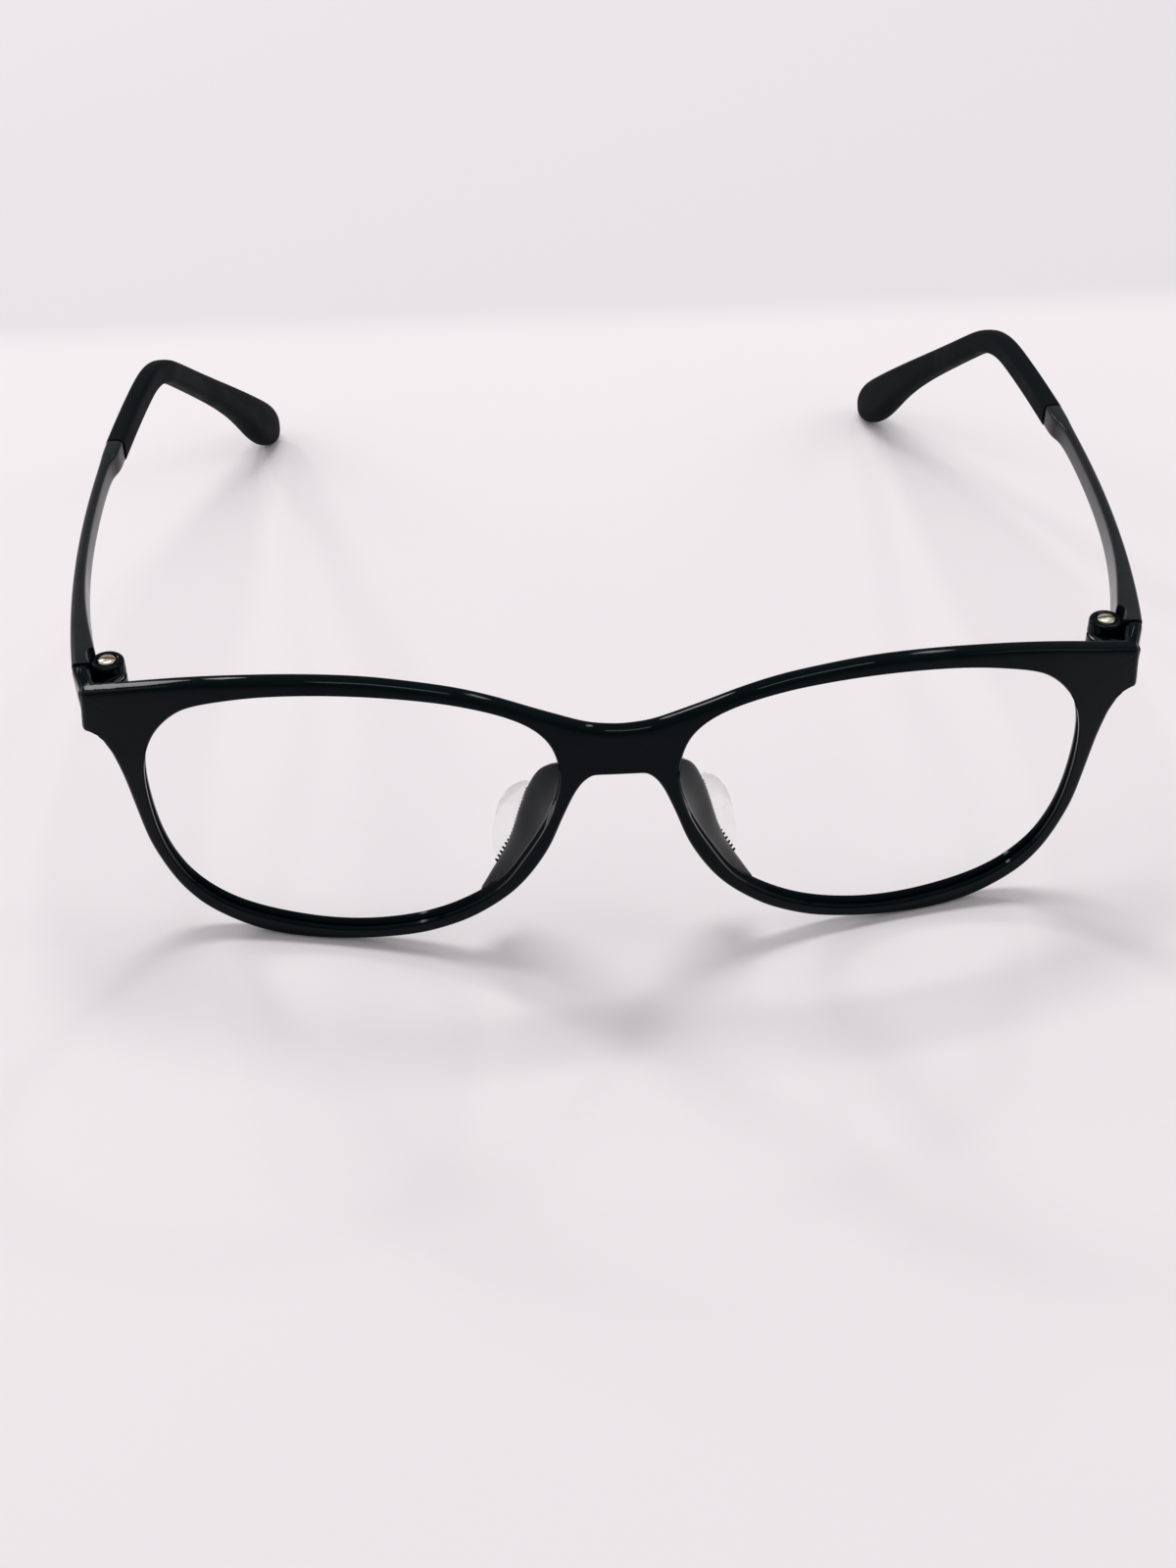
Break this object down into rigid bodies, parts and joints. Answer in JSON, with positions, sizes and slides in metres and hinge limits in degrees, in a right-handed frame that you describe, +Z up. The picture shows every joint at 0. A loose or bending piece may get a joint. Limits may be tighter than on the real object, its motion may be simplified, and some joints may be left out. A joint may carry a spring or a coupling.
{
  "type": "eyeglass frame",
  "caption": "Black moulded full-rim eyeglass frame with a saddle bridge, soft nose pads, temples that fold on screwed barrel hinges, and bent rubber ear sleeves.",
  "frame": {"origin": "middle of the bounding box on the table that the open frame stands on, at its lower rims and its temple tips", "axes": "+X towards the wearer's left, +Y back along the open temples, +Z up; the lenses face -Y"},
  "size_m": [0.1438, 0.1466, 0.0475],
  "materials": {
    "gloss_black": "polished injection moulding",
    "satin_black": "satin injection moulding",
    "black_rubber": "matt soft-touch rubber",
    "clear_silicone": "clear soft silicone with a satin skin",
    "pale_brass": "bright pale gold plate",
    "steel": "plain stamped washer"
  },
  "bodies": {
    "front": {"front": "gloss_black", "nose_pad_left": "clear_silicone", "nose_pad_right": "clear_silicone", "hinge_screw_left": "pale_brass", "hinge_screw_right": "pale_brass", "hinge_nut_left": "pale_brass", "hinge_nut_right": "pale_brass", "hinge_washer_left": "steel", "hinge_washer_right": "steel"},
    "temple_left": {"temple_left": "satin_black", "temple_sleeve_left": "black_rubber"},
    "temple_right": {"temple_right": "satin_black", "temple_sleeve_right": "black_rubber"}
  },
  "joints": [
    {"name": "temple_left_fold", "type": "hinge", "parent": "front", "child": "temple_left", "pos_m": [0.064, -0.05498, 0.03743], "axis": [0, 0.008, 1], "range_deg": [0, 86]},
    {"name": "temple_right_fold", "type": "hinge", "parent": "front", "child": "temple_right", "pos_m": [-0.064, -0.05498, 0.03743], "axis": [0, -0.008, -1], "range_deg": [0, 80]}
  ]
}
